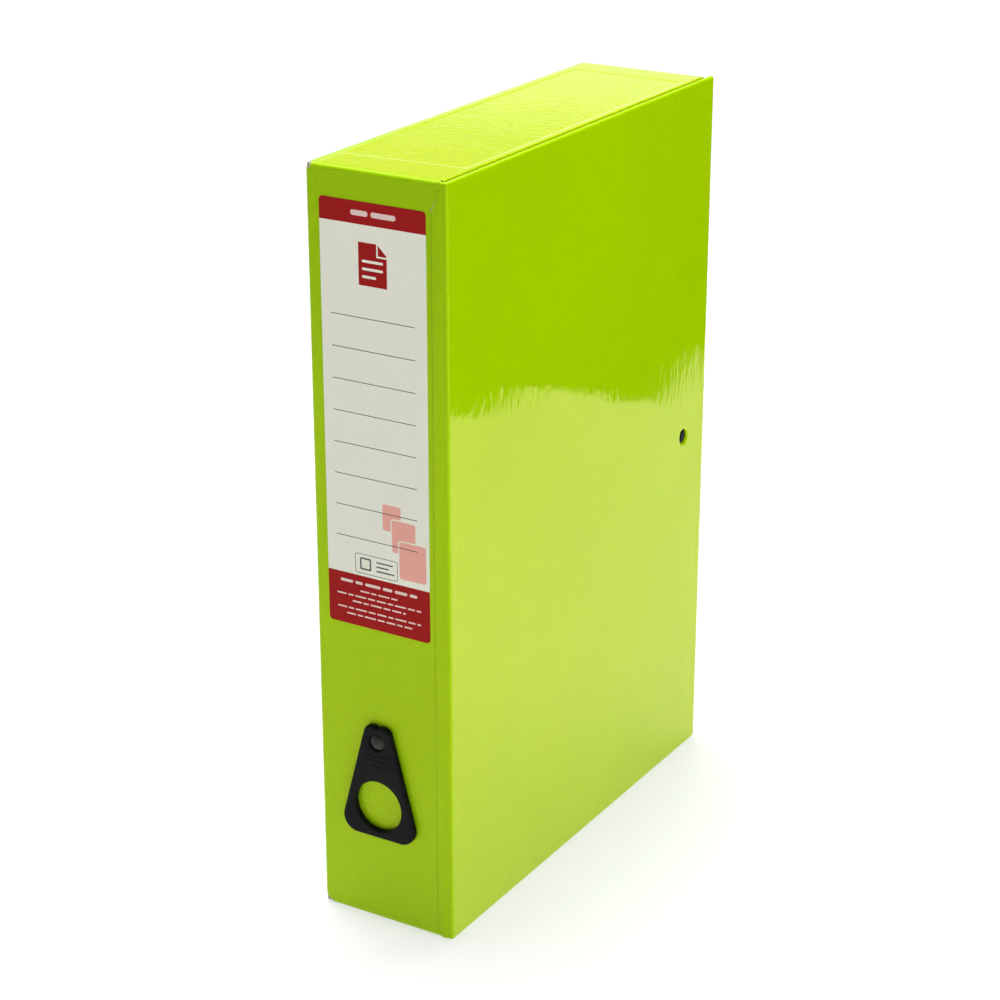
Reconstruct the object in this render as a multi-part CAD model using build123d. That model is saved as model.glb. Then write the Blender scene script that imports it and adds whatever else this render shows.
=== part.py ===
from build123d import *
import os

# A foolscap box file. A greyboard tray and a hinged lid are covered in laminated paper. A ring pull
# and a label are on the spine, a press catch holds the lid's free edge, and a sprung clamp inside
# holds the papers against the base.
#
# Millimetres. Positions are measured from the lowest corner of the case: X from the base's outer
# face to the lid, Y from the spine's outer face to the fore edge, Z up from the tail it stands on.
# The finished pieces are then moved so that the origin is at the bottom centre of the whole file.

# The case
case_width = 75.0
case_height = 378.0
tray_depth = 252.0
lid_depth = 257.0
board = 2.4
paper = 0.25
lid_gap = 0.3
lid_inset = 0.4
turn_in = 12.0
seam_x = 66.6

# The label on the spine
label_x = (7.3, 64.0)
label_z = (156.5, 363.5)
label_thickness = 0.12
label_corner = 2.0

# The ring pull, a flat moulding riveted near its narrow top, with its finger hole low down
pull_x = 34.8
pull_gap = 0.3
pull_thickness = 3.0
pull_bevel = 1.1
pull_base_circle = (12.4, 54.8, 8.0)
pull_top_circle = (3.3, 102.5, 4.4)
pull_notch_radius = 1.6
pull_flex_z = 92.0
pull_split = 0.3
finger_hole_z = 64.0
finger_hole_radius = 13.2
groove_pitch = 2.6
groove_size = (12.0, 0.7)
groove_depth = 0.35
groove_count = 3

# The ring pull's rivet
pull_rivet_z = 98.5
pull_rivet_shank = 2.0
pull_rivet_head = 3.9
pull_rivet_dome = 0.8
pull_recess_radius = 4.5
pull_recess_depth = 0.7
pull_rivet_clearance = 0.05
washer_radius = 5.0
washer_thickness = 0.6
rivet_tail_radius = 3.0
rivet_tail_height = 0.7

# The press catch behind the lid's free edge
catch_y = 233.6
catch_z = 188.2
lid_hole_radius = 4.0
nose_radius = 3.6
nose_below_lid = 0.6
catch_plate = 1.6
catch_top = 69.5
catch_foot_size = (17.5, 24.0)
catch_tongue_width = 12.0
catch_pad_reach = 5.4
catch_split = 0.3
catch_rivet_x = 58.0
catch_rivet_spacing = 16.0
catch_rivet_shank = 1.6
catch_rivet_head = 3.2
catch_rivet_proud = 0.8
catch_rib = (5.0, 1.2)

# The paper clamp on the base: a plate with ears, a pin, two coils, an arm and a pressure plate
clamp_z = 189.0
clamp_plate_y = (12.0, 44.0)
clamp_plate_length = 56.0
clamp_plate_thickness = 1.0
clamp_pin_y = 26.0
clamp_pin_height = 6.8
clamp_pin_radius = 1.8
clamp_pin_length = 42.0
clamp_fit = 0.05
ear_offset = 18.8
ear_thickness = 1.2
ear_radius = 3.2
ear_foot = 11.0
arm_length = 48.0
arm_thickness = 1.2
arm_root_width = 22.0
arm_flange = 3.0
arm_barrel_radius = 3.2
arm_slot = (18.0, 6.0)
coil_span = (11.3, 18.5)
coil_radii = (2.2, 3.4)
press_plate_width = 24.0
press_plate_length = 110.0
press_plate_thickness = 1.0
press_plate_drop = 3.8
press_lip_height = 3.5
press_near_lip_height = 2.5
press_near_lip_gap = 28.0
press_pin_radius = 1.3
press_pin_length = 20.0
press_barrel_radius = 2.2
press_barrel_width = 15.2
press_ear_offset = 8.0
press_ear_radius = 2.4
base_rivet_y = (18.0, 38.0)
base_rivet_spacing = 48.0
base_rivet_shank = 1.6
base_rivet_head = 3.5
base_rivet_proud = 0.6
base_rivet_tail = 0.9

# Worked out from the dimensions above
wall = board + paper
inner = wall + paper
lid_inner = case_width - board - 2 * paper
rim = lid_inner - lid_gap
rim_board = rim - paper
lining_top = rim - turn_in
lid_z = (lid_inset, case_height - lid_inset)
pull_back = -pull_gap
pull_front = pull_back - pull_thickness
rivet_head_base = pull_front + pull_recess_depth - 0.1
rivet_front = rivet_head_base - pull_rivet_dome
catch_wall = tray_depth - inner
clamp_pin_x = inner + clamp_pin_height
press_pin_y = clamp_pin_y + arm_length

# The case's corner in the finished frame, whose origin is the bottom centre of everything
to_frame = Pos(-(case_width - base_rivet_proud) / 2, -(lid_depth + rivet_front) / 2, 0)

os.makedirs("parts", exist_ok=True)


def save(name, *solids):
    """Writes one node, as a single solid or as a group of separate ones."""
    placed = [to_frame * solid for solid in solids]
    shape = placed[0] if len(placed) == 1 else Compound(children=placed)
    export_step(shape, f"parts/{name}.step")


def slab(x, y, z):
    """A block between three pairs of coordinates."""
    spans = (x, y, z)
    size = [high - low for low, high in spans]
    middle = [(low + high) / 2 for low, high in spans]
    return Pos(*middle) * Box(*size)


def rod(radius, start, end):
    """A round bar from one point to another."""
    line = Vector(*end) - Vector(*start)
    return Part() + Solid.make_cylinder(radius, line.length, Plane(origin=start, z_dir=line))


def about(middle, width):
    """The pair of coordinates that lie evenly about a middle."""
    return (middle - width / 2, middle + width / 2)


def clamp_rivet_places():
    """The middles of the four rivets that hold the clamp's plate."""
    return [(y, z) for y in base_rivet_y for z in about(clamp_z, base_rivet_spacing)]


def clamp_rivet_shanks(radius):
    """The round holes, or shanks, through the base at the clamp's rivets."""
    return [rod(radius, (-1, y, z), (inner + 1, y, z)) for y, z in clamp_rivet_places()]


def catch_rivet_shanks(radius):
    """The round holes through the fore-edge wall at the catch's rivets."""
    outside = tray_depth + 1
    places = about(catch_z, catch_rivet_spacing)
    return [rod(radius, (catch_rivet_x, catch_wall - 3, z), (catch_rivet_x, outside, z)) for z in places]


def pull_shank(radius, start_y, end_y):
    """A round bar on the ring pull's rivet axis."""
    return rod(radius, (pull_x, start_y, pull_rivet_z), (pull_x, end_y, pull_rivet_z))


# The tray's boards
def tray_boards():
    rise = (wall, rim_board)
    full_z = (paper, case_height - paper)
    inside_y = (wall, tray_depth - wall)
    hole = clamp_fit + base_rivet_shank
    base = slab((paper, wall), (paper, tray_depth - paper), full_z)
    save("base_board", base - clamp_rivet_shanks(hole))
    spine = slab(rise, (paper, wall), full_z)
    save("spine_board", spine - pull_shank(pull_rivet_shank + pull_rivet_clearance, -1, wall + 1))
    fore_edge = slab(rise, (tray_depth - wall, tray_depth - paper), full_z)
    save("fore_edge_board", fore_edge - catch_rivet_shanks(catch_rivet_shank + clamp_fit))
    save("head_board", slab(rise, inside_y, (case_height - wall, case_height - paper)))
    save("tail_board", slab(rise, inside_y, (paper, wall)))


# The tray's outer papers
def tray_covers():
    full_y = (0, tray_depth)
    full_z = (paper, case_height - paper)
    inside_z = (inner, case_height - inner)
    rim_x = (rim_board, rim)
    fold_x = (lining_top, rim)

    wrap = slab((0, paper), full_y, full_z)
    wrap += slab((paper, seam_x), (0, paper), full_z)
    wrap += slab((paper, rim), (tray_depth - paper, tray_depth), full_z)
    wrap += slab(rim_x, (tray_depth - wall, tray_depth - paper), full_z)
    wrap += slab(fold_x, (tray_depth - inner, tray_depth - wall), inside_z)
    wrap -= clamp_rivet_shanks(base_rivet_shank + clamp_fit)
    wrap -= catch_rivet_shanks(catch_rivet_shank + clamp_fit)
    wrap -= pull_shank(pull_rivet_shank + pull_rivet_clearance, -1, 1)
    save("outer_wrap_paper", wrap)

    save("hinge_strip_paper", slab((seam_x, rim), (0, paper), full_z))
    hinge_lining = slab(rim_x, (paper, wall), full_z)
    hinge_lining += slab(fold_x, (wall, inner), inside_z)
    save("inner_hinge_paper", hinge_lining)

    for name, outside, sign in (("head_end_paper", case_height, -1), ("tail_end_paper", 0, 1)):
        levels = [outside + sign * step for step in (0, paper, wall, inner)]
        end = slab((0, rim), full_y, sorted(levels[0:2]))
        end += slab(rim_x, (wall, tray_depth - wall), sorted(levels[1:3]))
        end += slab(fold_x, (wall, tray_depth - wall), sorted(levels[2:4]))
        save(name, end)


# The tray's linings
def tray_linings():
    y, inner_y = (wall, tray_depth - wall), (inner, tray_depth - inner)
    z, inner_z = (wall, case_height - wall), (inner, case_height - inner)
    base = slab((wall, inner), y, z)
    save("base_lining_paper", base - clamp_rivet_shanks(base_rivet_shank + clamp_fit))
    walls = slab((inner, lining_top), y, z) - slab((inner, lining_top), inner_y, inner_z)
    walls -= pull_shank(pull_rivet_shank + pull_rivet_clearance, 0, inner + 1)
    walls -= catch_rivet_shanks(catch_rivet_shank + clamp_fit)
    save("wall_lining_paper", walls)


# The lid: a board inside its cover paper, and a lining over the turned-in edges
def lid():
    hole = rod(lid_hole_radius, (lid_inner - 1, catch_y, catch_z), (case_width + 1, catch_y, catch_z))
    board_block = slab(
        (lid_inner + paper, case_width - paper),
        (paper, lid_depth - paper),
        (lid_z[0] + paper, lid_z[1] - paper),
    )
    lining = slab(
        (lid_inner, lid_inner + paper),
        (1.0, lid_depth - turn_in),
        (lid_z[0] + turn_in, lid_z[1] - turn_in),
    )
    cover = slab((lid_inner, case_width), (0, lid_depth), lid_z)
    save("lid_board", board_block - hole)
    save("lid_lining_paper", lining - hole)
    save("lid_cover_paper", cover - board_block - lining - hole)


def spine_label():
    label = slab(label_x, (-label_thickness, 0), label_z)
    save("spine_label", fillet(label.edges().filter_by(Axis.Y), label_corner))


# The ring pull: the outline round four circles, wide at the bottom
def ring_pull():
    corners = [
        Pos(pull_x + side * offset, height) * Circle(radius)
        for offset, height, radius in (pull_base_circle, pull_top_circle)
        for side in (-1, 1)
    ]
    outline = make_hull([circle.edge() for circle in corners])
    back = Plane(origin=(0, pull_back, 0), x_dir=(1, 0, 0), z_dir=(0, -1, 0))
    pull = extrude(back * outline, pull_thickness)
    pull = chamfer(pull.edges().group_by(Axis.Y)[0], pull_bevel)

    top = pull_top_circle[1] + pull_top_circle[2]
    notch_z = top + pull_notch_radius / 2
    pull -= rod(pull_notch_radius, (pull_x, pull_front - 1, notch_z), (pull_x, 0, notch_z))
    finger = (pull_x, pull_front - 1, finger_hole_z), (pull_x, 0, finger_hole_z)
    pull -= rod(finger_hole_radius, *finger)
    pull -= pull_shank(pull_recess_radius, pull_front - 1, pull_front + pull_recess_depth)
    pull -= pull_shank(pull_rivet_shank + pull_rivet_clearance, pull_front - 1, 0)
    for row in range(1, groove_count):
        z = pull_flex_z - row * groove_pitch
        pull -= slab(
            about(pull_x, groove_size[0]),
            (pull_front, pull_front + groove_depth),
            about(z, groove_size[1]),
        )

    cut = slab((0, case_width), (pull_front - 1, 0), about(pull_flex_z, pull_split))
    upper, lower = (pull - cut).solids().sort_by(Axis.Z, reverse=True)
    save("ring_pull_root", upper)
    save("ring_pull_loop", lower)

    dome_radius = (pull_rivet_head**2 + pull_rivet_dome**2) / (2 * pull_rivet_dome)
    dome = Pos(pull_x, rivet_head_base - pull_rivet_dome + dome_radius, pull_rivet_z) * Sphere(dome_radius)
    head = dome & pull_shank(pull_rivet_head, rivet_front - 1, rivet_head_base)
    washer_y = (inner, inner + washer_thickness)
    rivet = head + pull_shank(pull_rivet_shank, rivet_head_base, washer_y[1] + rivet_tail_height)
    rivet += pull_shank(rivet_tail_radius, washer_y[1], washer_y[1] + rivet_tail_height)
    save("ring_pull_rivet", rivet)
    washer = pull_shank(washer_radius, *washer_y) - pull_shank(pull_rivet_shank + clamp_fit, 0, 10)
    save("ring_pull_washer", washer)


# The catch: a foot riveted to the fore-edge wall, its tongue, and the nose that fills the lid's hole
def catch():
    height, width = catch_foot_size
    tongue_x = (catch_top - catch_plate, catch_top)
    tongue_end = catch_y + catch_pad_reach + catch_split
    foot_y = (catch_wall - catch_plate, catch_wall)
    foot = slab((catch_top - height, catch_top), foot_y, about(catch_z, width))
    foot += slab(tongue_x, (tongue_end, catch_wall), about(catch_z, catch_tongue_width))
    rib_size, rib_thickness = catch_rib
    x, y = tongue_x[0], foot_y[0]
    rib = make_face(Polyline((x, y), (x - rib_size, y), (x, y - rib_size), close=True))
    for z in about(catch_z, catch_tongue_width - rib_thickness):
        foot += Pos(0, 0, z - rib_thickness / 2) * extrude(rib, rib_thickness)
    foot -= catch_rivet_shanks(catch_rivet_shank + clamp_fit)
    save("catch_foot", foot)

    pad = slab(tongue_x, about(catch_y, 2 * catch_pad_reach), about(catch_z, catch_tongue_width))
    pad = fillet(pad.edges().filter_by(Axis.X).group_by(Axis.Y)[0], catch_tongue_width / 2 - 1)
    tip = case_width - nose_below_lid
    nose = rod(nose_radius, (catch_top - 0.5, catch_y, catch_z), (tip, catch_y, catch_z))
    nose = fillet(nose.edges().group_by(Axis.X)[-1], nose_radius / 2)
    save("catch_button", pad + nose)

    rivets = []
    for z in about(catch_z, catch_rivet_spacing):
        inside = catch_wall - catch_plate
        ends = (inside - base_rivet_tail, inside, tray_depth, tray_depth + catch_rivet_proud)
        points = [(catch_rivet_x, y, z) for y in ends]
        head = rod(catch_rivet_head, points[2], points[3])
        head = chamfer(head.edges().group_by(Axis.Y)[-1], catch_rivet_proud / 2)
        shank = rod(catch_rivet_shank, points[1], points[2])
        tail = rod(catch_rivet_head - 0.6, points[0], points[1])
        rivets.append(head + shank + tail)
    save("catch_rivets", *rivets)


def ear(pin_x, pin_y, z, radius, foot_x, foot_width, hole_radius):
    """An upright ear with a round top about a pin, on a plate below it."""
    top = Pos(pin_x, pin_y) * Circle(radius)
    foot = Pos(foot_x + 0.5, pin_y) * Rectangle(1.0, foot_width)
    outline = make_hull(top.edges() + foot.edges())
    return Pos(0, 0, z) * extrude(outline - Pos(pin_x, pin_y) * Circle(hole_radius), ear_thickness)


# The clamp's fixed pieces
def clamp_base():
    plate_top = inner + clamp_plate_thickness
    plate = slab((inner, plate_top), clamp_plate_y, about(clamp_z, clamp_plate_length))
    plate = fillet(plate.edges().filter_by(Axis.X), 4)
    plate -= clamp_rivet_shanks(base_rivet_shank + clamp_fit)
    for z in (clamp_z + ear_offset, clamp_z - ear_offset - ear_thickness):
        hole = clamp_pin_radius + 0.02
        plate += ear(clamp_pin_x, clamp_pin_y, z, ear_radius, inner, ear_foot, hole)
    save("clamp_base_plate", plate)

    ends = [(clamp_pin_x, clamp_pin_y, z) for z in about(clamp_z, clamp_pin_length)]
    pin = rod(clamp_pin_radius, *ends)
    save("clamp_pin", chamfer(pin.edges(), 0.4))

    for name, side in (("clamp_spring_upper", 1), ("clamp_spring_lower", -1)):
        ends = [(clamp_pin_x, clamp_pin_y, clamp_z + side * offset) for offset in coil_span]
        save(name, rod(coil_radii[1], *ends) - rod(coil_radii[0], *ends))

    rivets = []
    for y, z in clamp_rivet_places():
        levels = (-base_rivet_proud, 0, plate_top, plate_top + base_rivet_tail)
        points = [(x, y, z) for x in levels]
        head = rod(base_rivet_head, points[0], points[1])
        head = chamfer(head.edges().group_by(Axis.X)[0], base_rivet_proud / 2)
        shank = rod(base_rivet_shank, points[1], points[2])
        tail = rod(base_rivet_head - 0.7, points[2], points[3])
        rivets.append(head + shank + tail)
    save("clamp_base_rivets", *rivets)


# The clamp's arm: a tapered channel with a barrel at each end
def clamp_arm():
    start, end = clamp_pin_y + 1, press_pin_y - 1
    root, tip = arm_root_width / 2, press_barrel_width / 2
    under = clamp_pin_x - arm_thickness / 2
    web_plane = Plane(origin=(under, 0, clamp_z), x_dir=(0, 1, 0), z_dir=(1, 0, 0))

    def taper(inset):
        """The arm's plan, drawn in from its two long edges."""
        low, high = inset - root, inset - tip
        plan = Polyline((start, low), (end, high), (end, -high), (start, -low), close=True)
        return web_plane * make_face(plan)

    channel = extrude(taper(0), arm_flange + arm_thickness)
    channel -= Pos(arm_thickness, 0, 0) * extrude(taper(arm_thickness), arm_flange + 1)
    ends_clear = (press_pin_y - 4, press_pin_y + 4)
    channel -= slab((under + arm_thickness, 20), ends_clear, about(clamp_z, 30))
    middle = (start + end) / 2
    slot = Pos(middle, 0) * SlotOverall(*arm_slot)
    channel -= extrude(web_plane * slot, arm_thickness)

    pin = [(clamp_pin_x, clamp_pin_y, z) for z in about(clamp_z, arm_root_width)]
    end_pin = [(clamp_pin_x, press_pin_y, z) for z in about(clamp_z, press_barrel_width)]
    arm = channel + rod(arm_barrel_radius, *pin) + rod(press_barrel_radius, *end_pin)
    arm -= rod(clamp_pin_radius + clamp_fit, *pin)
    arm -= rod(press_pin_radius + clamp_fit, *end_pin)
    save("clamp_arm", arm)


# The pressure plate: a long lipped plate that tilts on the arm's end
def pressure_plate():
    top = clamp_pin_x - press_plate_drop
    under = top - press_plate_thickness
    y = about(press_pin_y, press_plate_width)
    plate = slab((under, top), y, about(clamp_z, press_plate_length))
    plate = fillet(plate.edges().filter_by(Axis.X), 5)
    lip_length = press_plate_length - 12
    plate += slab((under, under + press_lip_height), (y[1] - 1, y[1]), about(clamp_z, lip_length))
    near = slab((under, under + press_near_lip_height), (y[0], y[0] + 1), about(clamp_z, lip_length))
    plate += near - slab((0, 20), (y[0] - 1, y[0] + 2), about(clamp_z, press_near_lip_gap))
    for z in (clamp_z + press_ear_offset, clamp_z - press_ear_offset - ear_thickness):
        hole = press_pin_radius + 0.02
        plate += ear(clamp_pin_x, press_pin_y, z, press_ear_radius, under, 9.0, hole)
    save("pressure_plate", plate)
    ends = [(clamp_pin_x, press_pin_y, z) for z in about(clamp_z, press_pin_length)]
    save("pressure_plate_pin", chamfer(rod(press_pin_radius, *ends).edges(), 0.3))


tray_boards()
tray_covers()
tray_linings()
lid()
spine_label()
ring_pull()
catch()
clamp_base()
clamp_arm()
pressure_plate()
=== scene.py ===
import math
from collections import Counter

import bmesh
import bpy
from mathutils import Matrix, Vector, noise
from mathutils.geometry import delaunay_2d_cdt


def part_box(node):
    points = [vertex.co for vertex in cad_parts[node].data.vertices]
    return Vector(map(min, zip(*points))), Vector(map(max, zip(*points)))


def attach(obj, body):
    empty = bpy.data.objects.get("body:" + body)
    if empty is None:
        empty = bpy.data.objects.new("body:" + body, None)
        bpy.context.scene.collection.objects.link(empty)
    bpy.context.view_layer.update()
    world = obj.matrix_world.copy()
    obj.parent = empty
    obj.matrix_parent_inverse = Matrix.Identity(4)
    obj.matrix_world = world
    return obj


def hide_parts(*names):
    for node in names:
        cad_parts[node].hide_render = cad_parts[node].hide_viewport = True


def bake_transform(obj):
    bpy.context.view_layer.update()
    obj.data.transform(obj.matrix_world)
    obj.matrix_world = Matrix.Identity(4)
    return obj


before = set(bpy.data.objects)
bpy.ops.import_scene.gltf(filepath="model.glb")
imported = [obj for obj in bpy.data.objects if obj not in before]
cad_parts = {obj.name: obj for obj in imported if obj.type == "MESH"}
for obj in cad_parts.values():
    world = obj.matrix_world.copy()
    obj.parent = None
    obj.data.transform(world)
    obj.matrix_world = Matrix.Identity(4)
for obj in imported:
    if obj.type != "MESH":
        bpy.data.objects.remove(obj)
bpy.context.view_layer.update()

# A foolscap box file in lime laminated paper. Shapes are worked out in millimetres from the lowest
# corner of the case: X from the base to the lid, Y from the spine to the fore edge, Z up. Every
# size and place comes from the CAD frame, or is named here.

MM = 0.001
CORNER = Vector((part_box("outer_wrap_paper")[0].x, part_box("outer_wrap_paper")[0].y, 0.0))


def span(node):
    """A CAD node's lowest and highest corners, in case millimetres."""
    return [(corner - CORNER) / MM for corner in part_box(node)]


def to_frame(point):
    """Case millimetres to the frame's metres."""
    return CORNER + Vector(point) * MM


# The case, from the frame
tray_low, tray_high = span("outer_wrap_paper")
lid_low, lid_high = span("lid_cover_paper")
lining_low, lining_high = span("wall_lining_paper")
strip_low, strip_high = span("hinge_strip_paper")
label_low, label_high = span("spine_label")
height = span("head_end_paper")[1].z
rim = tray_high.x
inside = lining_low.y

# Rounded folds, and how far the skins wave
edge_radius = 1.8
corner_radius = 1.8
lid_radius = 1.2
rim_radius = 0.5
tuck = 6.0
wrap_drop = 0.16
skin = 0.12
wave_size = 0.10
wave_length = 70.0

# Where the flaps end inside, and the mesh steps near a fold
flap_end = lining_high.x - 0.6
fold_step = 0.8
fold_reach = 6

# Lid and hinge strip
lid_inner = lid_low.x + 0.15
crease_x = lid_low.x
strip_end = crease_x - 1.0
strip_lift = 0.16
button_low, button_high = span("catch_button")
hole_y = (button_low.y + button_high.y) / 2
hole_z = (button_low.z + button_high.z) / 2
hole_radius = 4.0
hole_block = 7.0

# End sheets: their margin, and the cover's turned-in flaps that show through
sheet_margin = 2.2
near_flap_y = 22.5
far_flap_y = 233.0
flap_step = 0.11

# The glued edge's values in the wear-and-shadow attribute: torn white paper, and a painted shadow line along
# the seam
torn_white = 0.8
seam_shadow_value = -1.0


# ---------------- mesh helpers

def steps(low, high, count):
    """Evenly spaced values from low to high, both included."""
    return [low + (high - low) * i / count for i in range(count + 1)]


def bends(start, end, count):
    """(cosine, sine) pairs from one angle to another, in degrees."""
    turns = [math.radians(angle) for angle in steps(start, end, count)]
    return [(math.cos(turn), math.sin(turn)) for turn in turns]


def rolled(radius, count=6):
    """(inset, depth) pairs round an edge, from the side wall to the flat face."""
    return [(radius * (1 - c), radius * (1 - s)) for c, s in bends(0, 90, count)]


def graded(low, high, fine, reach, coarse, keep=()):
    """Values from low to high: fine steps near both ends, coarse between, and exact runs in keep."""
    near = steps(low, low + reach, max(1, round(reach / fine)))
    far = steps(high - reach, high, max(1, round(reach / fine)))
    values = near[:-1]
    stops = [low + reach] + [edge for run in keep for edge in (run[0], run[-1])] + [high - reach]
    for i in range(0, len(stops), 2):
        start, end = stops[i], stops[i + 1]
        values += steps(start, end, max(1, round((end - start) / coarse)))[:-1]
        if i // 2 < len(keep):
            values += keep[i // 2][:-1]
    return values + far


def smooth_step(low, high, value):
    """0 below low, 1 above high, and a smooth ramp between."""
    t = min(1.0, max(0.0, (value - low) / (high - low)))
    return t * t * (3 - 2 * t)


def wave(point, length, seed):
    """Gentle noise from 0 to 1 at a place in the case."""
    return 0.5 + 0.5 * noise.noise(Vector(point) / length + Vector((seed, seed * 0.7, -seed)))


def weld(mesh):
    """Joins a closed shape's doubled points, and turns its faces outwards."""
    shape = bmesh.new()
    shape.from_mesh(mesh)
    bmesh.ops.remove_doubles(shape, verts=shape.verts, dist=2e-6)
    bmesh.ops.recalc_face_normals(shape, faces=shape.faces)
    shape.to_mesh(mesh)
    shape.free()


def in_scene(name, data):
    """A new object in the scene, holding the data."""
    thing = bpy.data.objects.new(name, data)
    bpy.context.scene.collection.objects.link(thing)
    return thing


def add_piece(name, points, faces, materials, body=None, face_materials=None, smooth=40, closed=False):
    """A mesh from case-millimetre points, with its materials, riding on a body unless body is None."""
    mesh = bpy.data.meshes.new(name)
    mesh.from_pydata([to_frame(p) for p in points], [], faces)
    if closed:
        weld(mesh)
    piece = in_scene(name, mesh)
    for material in materials:
        mesh.materials.append(material)
    if face_materials:
        mesh.polygons.foreach_set("material_index", face_materials)
    mesh.shade_smooth()
    mesh.set_sharp_from_angle(angle=math.radians(smooth))
    if body:
        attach(piece, body)
    return piece


def grid_faces(rows, columns, start=0, skip=None, flip=False):
    """Quads over a grid of points, but not those that skip(row, column) names."""
    faces = []
    for r in range(rows - 1):
        for c in range(columns - 1):
            if skip and skip(r, c):
                continue
            a = start + r * columns + c
            quad = (a, a + 1, a + columns + 1, a + columns)
            faces.append(quad[::-1] if flip else quad)
    return faces


def thicken(piece, thickness, offset=-1.0):
    """Gives a sheet its thickness, with a crisp rim."""
    uses = Counter(key for face in piece.data.polygons for key in face.edge_keys)
    for edge in piece.data.edges:
        if uses[edge.key] == 1:
            edge.use_edge_sharp = True
    solid = piece.modifiers.new("thickness", "SOLIDIFY")
    solid.thickness = thickness * MM
    solid.offset = offset


def soften(node, width, segments=3):
    """Rounds a CAD node's sharp edges a little, once its separate faces are joined."""
    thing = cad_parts[node]
    sharp = math.radians(35)
    join = thing.modifiers.new("join", "WELD")
    join.merge_threshold = 0.002 * MM
    bevel = thing.modifiers.new("edges", "BEVEL")
    bevel.width = width * MM
    bevel.segments = segments
    bevel.limit_method = "ANGLE"
    bevel.angle_limit = sharp
    bevel.harden_normals = False
    thing.data.shade_smooth()
    thing.data.set_sharp_from_angle(angle=sharp)


def shrink(node, distance):
    """Draws a CAD node in under the paper that covers it."""
    draw_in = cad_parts[node].modifiers.new("under_paper", "DISPLACE")
    draw_in.direction = "NORMAL"
    draw_in.mid_level = 0.0
    draw_in.strength = -distance * MM


def paint(node, material):
    """Gives a CAD node one material in all its slots."""
    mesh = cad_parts[node].data
    mesh.materials.clear()
    mesh.materials.append(material)


def mark_wear_and_seam_shadow(piece, worn_spots, edge=None):
    """Marks where the laminate is worn off: 1 at a spot, 0 past its radius. edge sets points of its own, with
    high values for torn paper and negative ones for a painted shadow along the seam.
    """
    attribute = piece.data.attributes.new("wear_and_seam_shadow", "FLOAT", "POINT")
    values = []
    for vertex in piece.data.vertices:
        point = (vertex.co - CORNER) / MM
        wear_and_shadow = 0.0
        for spot, radius in worn_spots:
            wear_and_shadow = max(wear_and_shadow, 1.0 - (point - Vector(spot)).length / radius)
        values.append(wear_and_shadow)
    for index, wear_and_shadow in (edge or {}).items():
        values[index] = wear_and_shadow
    attribute.data.foreach_set("value", values)


# ---------------- materials

class Look:
    """A node material: a principled shader, and short calls for the nodes that feed it."""

    def __init__(self, name, **sockets):
        self.material = bpy.data.materials.new(name)
        self.material.use_nodes = True
        self.tree = self.material.node_tree
        self.shader = self.tree.nodes["Principled BSDF"]
        self.coordinates = self.node("ShaderNodeTexCoord").outputs["Object"]
        for socket, value in sockets.items():
            self.feed(socket.replace("_", " "), value)

    def node(self, kind, inputs=None, **settings):
        node = self.tree.nodes.new(kind)
        for key, value in settings.items():
            setattr(node, key, value)
        for key, value in (inputs or {}).items():
            self.join(node.inputs[key], value)
        return node

    def join(self, socket, value):
        """Links an output to a socket, or sets the socket to a plain value."""
        if isinstance(value, bpy.types.NodeSocket):
            self.tree.links.new(value, socket)
        else:
            socket.default_value = value

    def feed(self, socket, value):
        self.join(self.shader.inputs[socket], value)

    def finished(self, colour, roughness, normal):
        """The material, with its colour, roughness and relief fed in."""
        self.feed("Base Color", colour)
        self.feed("Roughness", roughness)
        self.feed("Normal", normal)
        return self.material

    def stretched(self, scale):
        mapping = self.node("ShaderNodeMapping", {"Vector": self.coordinates, "Scale": scale})
        return mapping.outputs["Vector"]

    def noise(self, scale, detail=3.0, roughness=0.5, stretch=(1, 1, 1), distortion=0.0):
        inputs = {"Vector": self.stretched(stretch), "Scale": scale, "Detail": detail}
        inputs.update({"Roughness": roughness, "Distortion": distortion})
        return self.node("ShaderNodeTexNoise", inputs).outputs["Fac"]

    def flecks(self, scale):
        inputs = {"Vector": self.stretched((1, 1, 1)), "Scale": scale}
        return self.node("ShaderNodeTexVoronoi", inputs).outputs["Distance"]

    def ramp(self, value, low, high, start=0.0, end=1.0):
        """value from low..high, as start..end, with soft ends."""
        inputs = {"Value": value, "From Min": low, "From Max": high, "To Min": start, "To Max": end}
        return self.node("ShaderNodeMapRange", inputs, interpolation_type="SMOOTHSTEP").outputs["Result"]

    def mix(self, share, first, second):
        """The first colour, turning into the second as share goes from 0 to 1."""
        node = self.node("ShaderNodeMix", data_type="RGBA")
        self.join(node.inputs[0], share)
        self.join(node.inputs[6], first)
        self.join(node.inputs[7], second)
        return node.outputs[2]

    def maths(self, operation, *values):
        node = self.node("ShaderNodeMath", operation=operation)
        for socket, value in zip(node.inputs, values):
            self.join(socket, value)
        return node.outputs[0]

    def attribute(self, name):
        return self.node("ShaderNodeAttribute", attribute_name=name).outputs["Fac"]

    def bump(self, height, distance, under=None):
        """Relief of a distance in millimetres, over the relief that is under it."""
        inputs = {"Height": height, "Distance": distance * MM, "Strength": 1.0}
        if under is not None:
            inputs["Normal"] = under
        return self.node("ShaderNodeBump", inputs).outputs["Normal"]


def rgb(red, green, blue):
    return (red, green, blue, 1.0)


LIME_DEEP = rgb(0.330, 0.560, 0.0)
LIME_PALE = rgb(0.440, 0.680, 0.0)
LIME_COOL = rgb(0.318, 0.645, 0.007)
# Painted highlight tint: a yellower lime that stands in for the strong top light on the head face.
LIME_TOPLIT_YELLOW = rgb(0.510, 0.545, 0.0)
LIME_LID = rgb(0.405, 0.680, 0.0)
FILM_TINT = rgb(1.0, 0.80, 0.0)
LID_TINT = rgb(1.0, 0.58, 0.0)
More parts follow.
